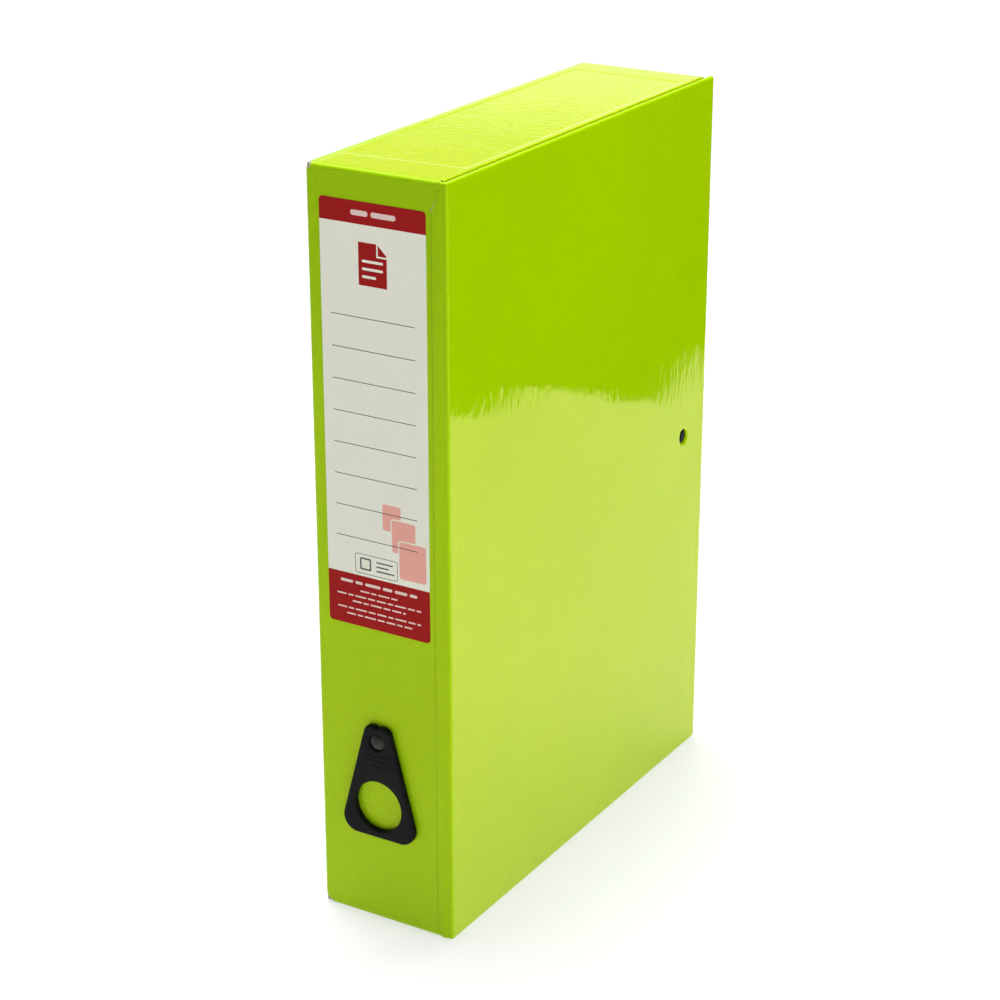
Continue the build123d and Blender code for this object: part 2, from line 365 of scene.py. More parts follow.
# Painted shadow colour for the line along the hinge strip's glued seam.
SEAM_SHADOW = rgb(0.11, 0.24, 0.006)
WORN_BOARD = rgb(0.50, 0.47, 0.42)
GREYBOARD = rgb(0.34, 0.31, 0.27)
BLACK = rgb(0.0, 0.0, 0.0)
WHITE = rgb(1.0, 1.0, 1.0)


def laminate(name, gloss, linen, tone, rippled, ior=1.7, tint=FILM_TINT, wear_and_shadow=False):
    """Glossy film over lime printed paper: its roughness, and its relief in mm for fibres and ripples."""
    look = Look(name, IOR=ior, Specular_Tint=tint)
    fibres = look.noise(1.0, 4, 0.6, (420, 420, 1500))
    specks = look.noise(1100, 3, 0.6)
    cloud = look.noise(14, 3)
    ripples = look.noise(1.0, 2, 0.5, (330, 360, 100))
    waves = look.noise(75, 2, 0.4)
    colour = look.mix(look.ramp(fibres, 0.32, 0.68), LIME_DEEP, LIME_PALE)
    colour = look.mix(look.ramp(specks, 0.3, 0.7, 0.35, 0.75), colour, tone)
    colour = look.mix(look.ramp(cloud, 0.35, 0.7, 0.0, 0.25), colour, LIME_DEEP)
    roughness = look.ramp(cloud, 0.3, 0.7, gloss, gloss * 1.2)
    if wear_and_shadow:
        grain = look.noise(700, 3)
        worn_off = look.maths("ADD", look.attribute("wear_and_seam_shadow"), look.ramp(grain, 0.3, 0.7, -0.16, 0.16))
        bare = look.ramp(worn_off, 0.42, 0.50)
        colour = look.mix(bare, colour, look.mix(look.ramp(grain, 0.45, 0.6), GREYBOARD, WORN_BOARD))
        # Painted shadow: negative attribute values darken the glued seam to a dark green line.
        seam_shadow = look.ramp(look.attribute("wear_and_seam_shadow"), -0.45, -0.85, 0.0, 0.75)
        colour = look.mix(seam_shadow, colour, SEAM_SHADOW)
        roughness = look.maths("MULTIPLY_ADD", bare, 0.8, roughness)
    normal = look.bump(ripples, rippled, look.bump(waves, 0.05))
    return look.finished(colour, roughness, look.bump(fibres, linen, normal))


def greyboard():
    """Grey pulp board, with darker flecks in it."""
    look = Look("greyboard_pulp", IOR=1.45)
    pulp = look.noise(420, 6, 0.65)
    plies = look.noise(60, 3, 0.5, (12, 12, 1))
    flecks = look.ramp(look.flecks(900), 0.0, 0.22, 1.0, 0.0)
    colour = look.mix(look.ramp(pulp, 0.3, 0.7), rgb(0.25, 0.225, 0.19), rgb(0.44, 0.41, 0.36))
    colour = look.mix(look.ramp(plies, 0.4, 0.6, 0, 0.35), colour, rgb(0.30, 0.27, 0.235))
    colour = look.mix(look.maths("MULTIPLY", flecks, 0.5), colour, rgb(0.12, 0.11, 0.10))
    return look.finished(colour, look.ramp(pulp, 0.3, 0.7, 0.82, 0.95), look.bump(pulp, 0.12))


def lining(name):
    """Matt white paper printed with a soft grey cloud."""
    look = Look(name, IOR=1.45)
    cloud = look.noise(55, 6, 0.62, (1, 1, 1), 1.2)
    veins = look.noise(150, 4, 0.6, (1, 1, 1), 2.5)
    tooth = look.noise(1800, 3)
    colour = look.mix(look.ramp(cloud, 0.38, 0.62), rgb(0.70, 0.70, 0.68), rgb(0.50, 0.51, 0.52))
    near = look.ramp(look.maths("ABSOLUTE", look.maths("SUBTRACT", veins, 0.5)), 0.0, 0.03, 0.55, 0.0)
    colour = look.mix(near, colour, rgb(0.33, 0.34, 0.36))
    return look.finished(colour, look.ramp(tooth, 0.3, 0.7, 0.62, 0.75), look.bump(tooth, 0.012))


def printed(name, ink, roughness=0.55, spread=0.06):
    """Label paper carrying one ink, with paper tooth and a slightly uneven print."""
    look = Look(name, IOR=1.45, Specular_IOR_Level=0.08)
    tooth = look.noise(1500, 3)
    cloud = look.noise(40, 3)
    dark = rgb(*[channel * (1 - spread) for channel in ink[:3]])
    light = rgb(*[min(1.0, channel * (1 + spread)) for channel in ink[:3]])
    colour = look.mix(look.ramp(tooth, 0.3, 0.7), dark, light)
    colour = look.mix(look.ramp(cloud, 0.35, 0.65, 0.0, 0.4), colour, dark)
    uneven = look.ramp(tooth, 0.3, 0.7, roughness, roughness + 0.1)
    return look.finished(colour, uneven, look.bump(tooth, 0.014))


def black_plastic():
    """Black moulded plastic with a fine texture and faint scuffs."""
    look = Look("moulded_black", IOR=1.2, Specular_IOR_Level=0.4)
    texture = look.noise(1400, 3, 0.6)
    cloud = look.noise(90, 3)
    scuffs = look.noise(120, 5, 0.7, (1, 1, 6))
    colour = look.mix(look.ramp(cloud, 0.3, 0.7), rgb(0.0032, 0.0034, 0.004), rgb(0.006, 0.0063, 0.0068))
    colour = look.mix(look.ramp(scuffs, 0.62, 0.75, 0.0, 0.25), colour, rgb(0.05, 0.05, 0.05))
    relief = look.bump(texture, 0.012, look.bump(cloud, 0.05))
    return look.finished(colour, look.ramp(texture, 0.3, 0.7, 0.36, 0.50), relief)


def metal(name, colour, dull, roughness, brushed=(1, 1, 1)):
    """Plated or bronzed steel with fine drawn lines and duller patches."""
    look = Look(name, Metallic=1.0)
    lines = look.noise(900, 4, 0.6, brushed)
    patches = look.noise(130, 4, 0.55)
    tint = look.mix(look.ramp(patches, 0.35, 0.7, 0.0, 0.7), rgb(*colour), rgb(*dull))
    uneven = look.ramp(patches, 0.3, 0.7, roughness, roughness + 0.14)
    return look.finished(tint, uneven, look.bump(lines, 0.006))


lime_wrap = laminate("lime_laminate_wrap", gloss=0.285, linen=0.022, tone=LIME_COOL, rippled=0.012, wear_and_shadow=True)
# The end sheets' yellower tone is a painted highlight tint for the brightly lit head; the tail and inner
# hinge share it.
lime_ends = laminate("lime_laminate_ends", gloss=0.06, linen=0.003, tone=LIME_TOPLIT_YELLOW, rippled=0.090)
lime_lid = laminate("lime_laminate_lid", 0.04, 0.002, LIME_LID, 0.065, ior=2.1, tint=LID_TINT, wear_and_shadow=True)
board_pulp = greyboard()
cloud_lining = lining("cloud_lining")
plastic = black_plastic()
nickel = metal("nickel_plate", (0.56, 0.55, 0.52), (0.40, 0.39, 0.37), 0.22, (1, 1, 7))
bronze = metal("bronzed_rivet", (0.055, 0.050, 0.043), (0.028, 0.026, 0.023), 0.30)
wire = metal("spring_wire", (0.42, 0.42, 0.42), (0.30, 0.29, 0.28), 0.26, (6, 6, 1))


# ---------------- skins of folded paper

def arc(centre, start, end, radius, count):
    """Path points on an arc, angles in degrees: x, y, outward normal, and how far each may move in."""
    found = []
    for normal in bends(start, end, count):
        found.append((centre[0] + radius * normal[0], centre[1] + radius * normal[1], normal, radius))
    return found


def run(axis, fixed, values, normal, ends=(-1e6, 1e6)):
    """Path points along a straight run at a fixed x or y, mitred at the corners that are its ends."""
    found = []
    for value in values:
        limit = max(corner_radius, min(value - ends[0], ends[1] - value))
        found.append((value, fixed, normal, limit) if axis == "x" else (fixed, value, normal, limit))
    return found


def end_levels(low, high, radius, tucked, straight):
    """(height, inset) pairs that round a skin over at both ends and tuck it in."""
    fold = rolled(radius, 5)
    levels = [(low, radius + tucked)] + [(low + depth, inset) for inset, depth in reversed(fold)]
    levels += [(z, 0.0) for z in straight[1:-1]]
    return levels + [(high - depth, inset) for inset, depth in fold] + [(high, radius + tucked)]


def swept_points(path, levels):
    """A point for each level and each place on the path, set in by the level's inset."""
    points = []
    for z, inset in levels:
        for x, y, normal, limit in path:
            shift = min(inset, limit * 0.98)
            points.append(Vector((x - normal[0] * shift, y - normal[1] * shift, z)))
    return points


def ripple(points, path, levels, size, seed):
    """Lets a swept skin's flat faces wave a little inwards, and leaves its folds alone."""
    columns = len(path)
    low, high = levels[0][0], levels[-1][0]
    for index, point in enumerate(points):
        x, y, normal, _ = path[index % columns]
        if min(abs(normal[0]), abs(normal[1])) > 0.01:
            continue
        clear = smooth_step(0, 12, point.z - low) * smooth_step(0, 12, high - point.z)
        across = y if abs(normal[0]) > 0.5 else x
        ends = (tray_low.y, tray_high.y) if abs(normal[0]) > 0.5 else (tray_low.x, rim)
        clear *= smooth_step(0, 9, across - ends[0]) * smooth_step(0, 9, ends[1] - across)
        depth = size * clear * wave((x, y, point.z), wave_length, seed)
        point.x -= normal[0] * depth
        point.y -= normal[1] * depth


def tray_wrap():
    """Spine, base and fore edge in one sheet, folded over the fore-edge rim and down inside."""
    r, c = rim_radius, corner_radius
    depth = tray_high.y
    wall_y = depth - inside
    long_y = graded(c, depth - c, fold_step, fold_reach, 5)
    long_x = graded(c, rim - r, fold_step, fold_reach, 4)
    spine_x = [strip_high.x - 1.0] + [x for x in reversed(long_x) if x < strip_high.x - 2]
    path = run("x", 0.0, spine_x, (0, -1), (0, 1e6))
    path += arc((c, c), 270, 180, c, 6)[1:-1]
    path += run("y", 0.0, long_y, (-1, 0), (0, depth))
    path += arc((c, depth - c), 180, 90, c, 6)[1:-1]
    path += run("x", depth, long_x, (0, 1), (0, 1e6))
    path += arc((rim - r, depth - r), 90, 0, r, 4)[1:]
    path += arc((rim - r, wall_y + r), 0, -90, r, 4)
    path += [(x, wall_y, (0, -1), r) for x in steps(rim - r, flap_end, 5)[1:]]
    low, high = wrap_drop, height - wrap_drop
    straight = graded(low + edge_radius, high - edge_radius, fold_step, fold_reach, 4)
    levels = end_levels(low, high, edge_radius, tuck, straight)
    points = swept_points(path, levels)
    ripple(points, path, levels, wave_size * 0.6, 3.1)
    faces = grid_faces(len(levels), len(path))
    piece = add_piece("tray_cover_paper", points, faces, [lime_wrap])
    near, far, top = 0.3, depth - 0.3, height - 0.3
    spots = [((near, near, top), 5.0), ((near, near, near), 5.8)]
    spots += [((near, far, top), 4.0), ((near, far, near), 3.8)]
    mark_wear_and_seam_shadow(piece, spots)
    blunt_corners(piece, spots)
    thicken(piece, skin, 1.0)
    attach(piece, "tray")
    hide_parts("outer_wrap_paper")


def blunt_corners(piece, spots):
    """Knocks the case's worn corners in a little, and unevenly."""
    push, uneven, grain = 1.3, 0.5, 1.1
    centre = Vector((rim / 2, tray_high.y / 2, height / 2))
    for vertex in piece.data.vertices:
        point = (vertex.co - CORNER) / MM
        for spot, radius in spots:
            near = 1.0 - (point - Vector(spot)).length / radius
            if near > 0:
                inward = (centre - Vector(spot)).normalized()
                rough = wave(point, grain, 5.0)
                vertex.co += inward * (near * near * (push + uneven * rough)) * MM


def strip_edge(z):
    """Where the hinge strip's glued edge lies on the spine: straight, with its two ends cut back."""
    cuts = [(0.0, 2.8), (2.2, 1.8), (5.0, 0.0), (365.0, 0.0), (373.7, 4.8), (376.8, 3.5), (378.0, 3.7)]
    for (z0, back0), (z1, back1) in zip(cuts, cuts[1:]):
        if z0 <= z <= z1:
            return strip_low.x + back0 + (back1 - back0) * (z - z0) / (z1 - z0)
    return strip_low.x


def lid_steps(low, high, hole):
    """Values across the lid's flat face one way, with even ones through the finger hole's square."""
    near_hole = steps(hole - hole_block, hole + hole_block, 8)
    return graded(low + lid_radius, high - lid_radius, fold_step, fold_reach, 3.2, [near_hole])


def lid_section(ys):
    """The lid sheet's path, how many points are glued, and where its outer and inner faces start."""
    r, outer, far = lid_radius, lid_high.x, lid_high.y
    glued = [(x, -strip_lift, (0, -1), 1e6) for x in steps(strip_low.x, strip_end, 6)]
    crease = [(-0.5, -0.06), (-0.1, 0.08), (0.35, 0.06), (0.8, 0.02)]
    folded = [(crease_x + x, y, (0, -1), 1e6) for x, y in crease]
    path = glued + folded + run("x", 0.0, [outer - r], (0, -1))
    path += arc((outer - r, r), 270, 360, r, 6)[1:-1]
    start_outer = len(path)
    path += run("y", outer, ys, (1, 0))
    path += arc((outer - r, far - r), 0, 90, r, 6)[1:-1]
    path += arc((lid_inner + r, far - r), 90, 180, r, 6)
    start_inner = len(path) - 1
    path += run("y", lid_inner, ys[-2::-1], (-1, 0))
    return path, len(glued), start_outer, start_inner


def settle_lid(points, columns, glued, outer_face):
    """Spreads the glued strip to the case's height and its cut edge, and lets the outer face sag."""
    stretch = height / (lid_high.z - lid_low.z) - 1
    for index, point in enumerate(points):
        place = index % columns
        if place < glued:
            point.z += (point.z - height / 2) * stretch
            edge = strip_edge(point.z)
            point.x = edge + (strip_end - edge) * (place / (glued - 1))
            if place == 0:
                point.y += strip_lift * 0.35
        if place in outer_face:
            point.x -= lid_sag(point)


def hole_ends(values, middle):
    """The first and last index of the values inside the square round the finger hole."""
    near = [i for i, value in enumerate(values) if abs(value - middle) <= hole_block + 0.01]
    return near[0], near[-1]


def gap_loop(rows, block, columns):
    """The points round a square gap in a grid, between two rows and two columns."""
    (first, last), (left, right) = rows, block
    loop = [first * columns + column for column in range(left, right)]
    loop += [row * columns + right for row in range(first, last)]
    loop += [last * columns + column for column in range(right, left, -1)]
    loop += [row * columns + left for row in range(last, first, -1)]
    return loop


def lid_cover():
    """The lid's sheet: over the outer face and edges, in on the inner face, and across the hinge."""
    outer, far = lid_high.x, lid_high.y
    ys = lid_steps(0, far, hole_y)
    straight = lid_steps(lid_low.z, lid_high.z, hole_z)
    levels = end_levels(lid_low.z, lid_high.z, lid_radius, (outer - lid_inner) / 2 - lid_radius, straight)
    path, glued, start_outer, start_inner = lid_section(ys)
    columns = len(path)
    points = swept_points(path, levels)
    sheet_count = len(points)
    settle_lid(points, columns, glued, range(start_outer, start_outer + len(ys)))

    rows = hole_ends([z for z, _ in levels], hole_z)
    blocks = []
    for start, values in ((start_outer, ys), (start_inner, ys[::-1])):
        first, last = hole_ends(values, hole_y)
        blocks.append((start + first, start + last))

    def in_hole(row, column):
        return rows[0] <= row < rows[1] and any(left <= column < right for left, right in blocks)

    def on_spine(face):
        return max(face) < sheet_count and max(i % columns for i in face) <= start_outer

    faces = grid_faces(len(levels), columns, skip=in_hole)
    for block, side in zip(blocks, (1, -1)):
        punch(points, faces, gap_loop(rows, block, columns), side)
    looks = [int(on_spine(face)) for face in faces]
    piece = add_piece("lid_cover_paper_folded", points, faces, [lime_lid, lime_wrap], face_materials=looks)
    spots = [((outer, far, height), 2.6), ((outer, far, 0), 2.4), ((outer, 0, 0), 2.2)]
    torn_above = 362
    glued_edge = {}
    # Lower points of the glued edge carry the painted seam shadow; those above torn_above are torn white
    # paper.
    for index in range(0, sheet_count, columns):
        glued_edge[index] = torn_white if points[index].z > torn_above else seam_shadow_value
    mark_wear_and_seam_shadow(piece, spots, glued_edge)
    thicken(piece, skin, -1.0)
    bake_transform(piece)
    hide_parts("lid_cover_paper", "hinge_strip_paper")


def lid_sag(point):
    """How far the lid's outer face lies inside its nominal plane."""
    clear = smooth_step(0, 14, point.z - lid_low.z) * smooth_step(0, 14, lid_high.z - point.z)
    clear *= smooth_step(0, 10, point.y) * smooth_step(0, 10, lid_high.y - point.y)
    return wave_size * clear * wave(tuple(point), wave_length, 1.7)


def punch(points, faces, loop, side):
    """Fills from a square gap's edge in to the round hole, dished and rolled at the rim."""
    rings = [(0.75, 0.0), (0.42, 0.0), (0.22, 0.07), (0.09, 0.22), (0.0, 0.50), (-0.03, 0.85), (-0.035, 1.25)]
    previous, count = loop, len(loop)
    for share, sink in rings:
        ring = []
        for index in loop:
            edge = points[index]
            direction = Vector((0, edge.y - hole_y, edge.z - hole_z))
            distance = hole_radius + 0.02 + (direction.length - hole_radius) * share
            place = Vector((edge.x - side * sink, hole_y, hole_z)) + direction.normalized() * distance
            points.append(place)
            ring.append(len(points) - 1)
        for i in range(count):
            j = (i + 1) % count
            faces.append((previous[i], previous[j], ring[j], ring[i]))
        previous = ring


def sheet_edge(y):
    """Where the end sheet's long edge lies: it was laid a little askew."""
    return 4.6 - 2.2 * smooth_step(50, 90, y) + 0.25 * wave((0, y, 0), 14, 4.0)


def head_drop(x, y):
    """How far the end sheet lies below its highest level: the cover's turned-in flaps show through it."""
    base_side, rim_side = x - 3.0, rim - 2.0 - x
    slant = 0.066 * (x - 15.6)
    near_flap = min(near_flap_y + slant - y, base_side * 1.9, rim_side * 2.1)
    far_flap = min(y - far_flap_y, base_side * 2.5, rim_side * 3.0)
    base_flap = smooth_step(-0.8, 0.8, 6.4 - x)
    rim_flap = smooth_step(-0.7, 0.7, x - rim + 3.0)
    raised = max(smooth_step(-0.6, 0.6, near_flap), smooth_step(-0.6, 0.6, far_flap))
    raised = max(raised, min(1.0, base_flap + rim_flap))
    edge = min(x - sheet_edge(y), y - sheet_margin, tray_high.y - sheet_margin - y)
    uneven = 0.035 * wave((x, y, 0), 22, 9.0) + 0.012 * wave((x, y, 0), 5, 2.0)
    return flap_step * (1 - raised) + 0.06 * (1 - smooth_step(0, 1.4, edge)) + uneven


def end_paper(name, node, level, direction):
    """A head or tail sheet: over the end, folded over the rim and down inside."""
    r = rim_radius
    middle = tray_high.y / 2
    inner_level = level - direction * inside
    ys = graded(sheet_margin, tray_high.y - sheet_margin, 0.5, 4, 2.2)
    ys += steps(near_flap_y - 3, near_flap_y + 4, 14) + steps(far_flap_y - 1.8, far_flap_y + 1.8, 8)
    ys.sort()
    rows = [(rim - r + r * c, 0, level - direction * r * (1 - s)) for c, s in bends(90, 0, 4)[1:]]
    rows += [(rim - r + r * c, 1, inner_level + direction * r * (1 + s)) for c, s in bends(0, -90, 4)]
    rows += [(x, 1, inner_level) for x in steps(rim - r, flap_end, 4)[1:]]

    points = []
    shares = graded(0, 1, 0.01, 0.08, 0.045)
    for share in shares:
        for y in ys:
            start = sheet_edge(y)
            x = start + (rim - r - start) * share
            drop = head_drop(x, y) * smooth_step(0, 1.5, rim - r - x)
            points.append(Vector((x, y, level - direction * drop)))
    for x, indoors, z in rows:
        squeeze = 1 - indoors * (inside - sheet_margin) / (middle - sheet_margin)
        points += [Vector((x, middle + (y - middle) * squeeze, z)) for y in ys]
    faces = grid_faces(len(shares) + len(rows), len(ys), flip=direction < 0)
    piece = add_piece(name, points, faces, [lime_ends])
    thicken(piece, skin, 1.0)
    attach(piece, "tray")
    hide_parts(node)


def inner_hinge():
    """The strip that covers the spine wall's rim and turns down inside."""
    r = rim_radius
    zs = graded(inside, height - inside, 1.0, 4, 12)
    path = [(rim, 0.35)] + [(rim - r + r * c, inside - r + r * s) for c, s in bends(0, 90, 5)]
    path += [(x, inside) for x in steps(rim - r, flap_end, 5)[1:]]
    points = [Vector((x, y, z)) for z in zs for x, y in path]
    piece = add_piece("inner_hinge_paper_folded", points, grid_faces(len(zs), len(path)), [lime_ends])
    thicken(piece, skin, -1.0)
    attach(piece, "tray")
    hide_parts("inner_hinge_paper")


tray_wrap()
lid_cover()
end_paper("head_end_paper_folded", "head_end_paper", height, 1)
end_paper("tail_end_paper_folded", "tail_end_paper", 0.0, -1)
inner_hinge()


# ---------------- flat outlines

def circle(centre, radius, count=64):
    """A ring of points, anticlockwise."""
    turns = [2 * math.pi * i / count for i in range(count)]
    return [(centre[0] + radius * math.cos(t), centre[1] + radius * math.sin(t)) for t in turns]


def rounded(x, z, radius, count=6):
    """A rectangle's outline with round corners."""
    outline = []
    corners = ((x[1], z[1], 0), (x[0], z[1], 90), (x[0], z[0], 180), (x[1], z[0], 270))
    for cx, cz, start in corners:
        mx = cx - radius if cx == x[1] else cx + radius
        mz = cz - radius if cz == z[1] else cz + radius
        outline += [(mx + radius * c, mz + radius * s) for c, s in bends(start, start + 90, count)]
    return outline


def contains(outline, x, z):
    """Whether a point is inside an outline."""
    odd = False
    for (x0, z0), (x1, z1) in zip(outline, outline[1:] + outline[:1]):
        if (z0 > z) != (z1 > z) and x < (x1 - x0) * (z - z0) / (z1 - z0) + x0:
            odd = not odd
    return odd


def middle_of(flat, triangle):
    """The middle of a flat triangle."""
    return [sum(flat[i][axis] for i in triangle) / 3 for axis in (0, 1)]


def triangulate(outlines, loose=()):
    """Triangles over flat outlines, with every outline's edges kept, and loose points inside."""
    points, edges = [], []
    for outline in outlines:
        start, count = len(points), len(outline)
        points += [Vector(p) for p in outline]
        edges += [(start + i, start + (i + 1) % count) for i in range(count)]
    points += [Vector(p) for p in loose]
    found, _, triangles, _, _, _ = delaunay_2d_cdt(points, edges, [], 0, 1e-5)
    return found, triangles


# ---------------- the label

label_middle = (label_low.x + label_high.x) / 2


def bar(across, z, thickness):
    """A round-ended stroke, in place of a word."""
    return rounded(across, (z - thickness / 2, z + thickness / 2), thickness * 0.45, 3)


def grown(ends, margin):
    """A (low, high) pair, moved out at both ends."""
    return (ends[0] - margin, ends[1] + margin)


def framed(across, up, line, radii):
    """A frame of one line's width with round corners, and paper inside it."""
    inner = rounded(grown(across, -line), grown(up, -line), radii[1])
    return [(rounded(across, up, radii[0]), "grey"), (inner, "paper")]


def label_bands():
    """Red bands over the label's head and foot, with two pale words in the upper one."""
    head_band, foot_band, over = 10.5, 26.2, 1
    word_z, word_height = label_high.z - 5.4, 2.5
    across = grown((label_low.x, label_high.x), over)
    return [
        (rounded(across, (label_high.z - head_band, label_high.z + over), 0.2, 1), "red"),
        (rounded(across, (label_low.z - over, label_low.z + foot_band), 0.2, 1), "red"),
        (bar((label_middle - 11.4, label_middle - 2.2), word_z, word_height), "pale"),
        (bar((label_middle - 0.6, label_middle + 12.6), word_z, word_height), "pale"),
    ]


def page_symbol():
    """A red page with its corner folded over and three lines of writing."""
    left, right = label_middle - 7.6, label_middle + 7.6
    bottom, top = label_high.z - 38.5, label_high.z - 18.5
    fold_x, fold_z = right - 5.0, top - 5.0
    page = [(left, bottom), (right, bottom), (right, fold_z), (fold_x, top), (left, top)]
    flap = [(right, fold_z - 0.4), (fold_x + 0.3, fold_z - 0.4), (fold_x + 0.3, top - 0.1), (fold_x, top)]
    flap += [(fold_x - 0.5, top), (fold_x - 0.5, fold_z - 1.2), (right, fold_z - 1.2)]
    start, thickness = left + 1.8, 1.25
    lines = [(top - 8.6, 11.4), (top - 12.2, 11.4), (top - 15.8, 7.6)]
    shapes = [(page, "red"), (flap, "paper")]
    return shapes + [(bar((start, start + length), z, thickness), "paper") for z, length in lines]


def tint_squares():
    """Three overlapping pink squares, each with a paper margin."""
    stack = [((38.5, 48.5), (208.5, 221.5)), ((43.5, 56.5), (198.5, 214.5)), ((47.5, 62.2), (186.0, 204.5))]
    margin = 0.6
    shapes = []
    for across, up in stack:
        shapes.append((rounded(grown(across, margin), grown(up, margin), 1.6, 4), "paper"))
        shapes.append((rounded(across, up, 1.2, 4), "pink"))
    return shapes


def ruled_lines():
    """Eight thin lines to write on."""
    across = (label_low.x + 5.2, label_high.x - 6.4)
    first, pitch, half = label_high.z - 53.9, 15.45, 0.19
    levels = [first - index * pitch for index in range(8)]
    return [(rounded(across, (z - half, z + half), 0.05, 1), "grey") for z in levels]


def note_box():
    """A framed box with a heavier square and three short lines in it."""
    lines = [((34.5, 43.8), 191.2), ((34.5, 41.5), 189.0), ((34.5, 44.6), 186.8)]
    shapes = framed((22.6, 46.5), (184.0, 194.0), 0.3, (1.4, 1.1))
    shapes += [(bar(across, z, 0.7), "grey") for across, z in lines]
    return shapes + framed((25.4, 31.6), (186.0, 192.2), 0.8, (0.8, 0.4))


def foot_print():
    """Rows of pale strokes in the foot band, where the small print would be."""
    rows = [(178.6, 21.5, 1.5), (174.7, 10.5, 0.75), (171.6, 23.6, 0.8)]
    rows += [(168.7, 15.0, 0.8), (164.8, 23.4, 0.8), (161.9, 18.4, 0.8)]
    words = (5.2, 3.1, 6.4, 4.0)
    shapes = []
    for z, half, thickness in rows:
        longer, space = (1.35, 1.3) if thickness > 1 else (1.0, 0.9)
        left, right = label_middle - half, label_middle + half
        count = 0
        while left < right - 1.0:
            length = min(words[count % 4] * longer, right - left)
            shapes.append((bar((left, left + length), z, thickness), "pale"))
            left += length + space
            count += 1
    return shapes


def ink_at(shapes, x, z):
    """The ink of the last shape drawn over a point."""
    found = [ink for shape, ink in shapes if contains(shape, x, z)]
    return found[-1] if found else "paper"


def spine_label():
    """A matt label with a plain red head and foot band, ruled lines, and a page symbol."""
    inks = {
        "paper": printed("label_stock", rgb(0.90, 0.905, 0.775), 0.55, 0.02),
        "red": printed("label_red_print", rgb(0.385, 0.0105, 0.0105), 0.42, 0.05),
        "pale": printed("label_reversed_print", rgb(0.85, 0.66, 0.60), 0.5, 0.03),
        "pink": printed("label_tint_print", rgb(0.90, 0.44, 0.36), 0.5, 0.03),
        "grey": printed("label_rule_print", rgb(0.085, 0.09, 0.085), 0.5, 0.05),
    }
    names = list(inks)
    outline = rounded((label_low.x, label_high.x), (label_low.z, label_high.z), 2.0)
    shapes = label_bands() + page_symbol() + tint_squares() + ruled_lines() + note_box() + foot_print()
    flat, triangles = triangulate([outline] + [shape for shape, _ in shapes])
    front = label_low.y - 0.02
    points = [Vector((p[0], front, p[1])) for p in flat]
    faces, looks = [], []
    for triangle in triangles:
        x, z = middle_of(flat, triangle)
        if contains(outline, x, z):
            faces.append(tuple(triangle))
            looks.append(names.index(ink_at(shapes, x, z)))
    piece = add_piece("spine_label_printed", points, faces, list(inks.values()), "tray", looks)
    thicken(piece, 0.12, -1.0)
    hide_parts("spine_label")


spine_label()


# ---------------- the ring pull

pull_low, loop_high = span("ring_pull_loop")
pull_high = span("ring_pull_root")[1]
pull_middle = (pull_low.x + loop_high.x) / 2
pull_back = pull_high.y
pull_front = pull_low.y
rivet_low, rivet_high = span("ring_pull_rivet")
rivet_z = (rivet_low.z + rivet_high.z) / 2
flex_z = (span("ring_pull_root")[0].z + loop_high.z) / 2
base_circle = (12.4, pull_low.z + 8.0, 8.0)
top_circle = (3.3, pull_high.z - 4.4, 4.4)
finger_z = 64.0
finger_radius = 13.2
recess_radius = 4.5
recess_depth = 0.7
shank_radius = 2.1
groove_half = 6.2
groove_pitch = 2.6
groove_depth = 0.18
front_round = 0.9
back_round = 0.3
hole_round = 0.7


def pull_outline(inset, count=26):
    """The pull's outline, drawn in by inset: a hull about four circles, with a notch at the top."""
    across, up = base_circle[0] - top_circle[0], top_circle[1] - base_circle[1]
    taper = math.asin((base_circle[2] - top_circle[2]) / math.hypot(across, up))
    tilt = math.degrees(math.atan2(across, up) + taper)
    side = []
    for (offset, z, radius), start, end in ((base_circle, -90, tilt), (top_circle, tilt, 90)):
        r = radius - inset
        side += [(offset + r * c, z + r * s) for c, s in bends(start, end, count)]
    notch_radius, notch_z = 1.6 + inset, pull_high.z + 0.8
    start = math.degrees(math.asin((pull_high.z - inset - notch_z) / notch_radius))
    side += [(notch_radius * c, notch_z + notch_radius * s) for c, s in bends(start, -90, 7)[:-1]]
    bottom = [(0.0, notch_z - notch_radius)]
    left = [(-x, z) for x, z in reversed(side)]
    return [(pull_middle + x, z) for x, z in side + bottom + left]


class Shell:
    """Points and faces gathered from rings and flat caps."""

    def __init__(self):
        self.points = []
        self.faces = []

    def loop(self, points):
        """Adds points, and returns their indices."""
        start = len(self.points)
        self.points += points
        return list(range(start, len(self.points)))

    def ring(self, outline, y):
        """Adds an (x, z) outline at a depth, and returns its indices."""
        return self.loop([Vector((x, y, z)) for x, z in outline])

    def bridge(self, rings):
        """Joins rings of equal length, one to the next."""
        for first, second in zip(rings, rings[1:]):
            count = len(first)
            for i in range(count):
                j = (i + 1) % count
                self.faces.append((first[i], first[j], second[j], second[i]))

    def cap(self, outline, holes, depth, loose=()):
        """A flat face inside an outline and outside its holes, at the depth that depth(x, z) gives."""
        flat, triangles = triangulate([outline] + holes, loose)
        start = len(self.points)
        self.points += [Vector((p[0], depth(p[0], p[1]), p[1])) for p in flat]
        for triangle in triangles:
            x, z = middle_of(flat, triangle)
            if contains(outline, x, z) and not any(contains(hole, x, z) for hole in holes):
                self.faces.append(tuple(start + i for i in triangle))


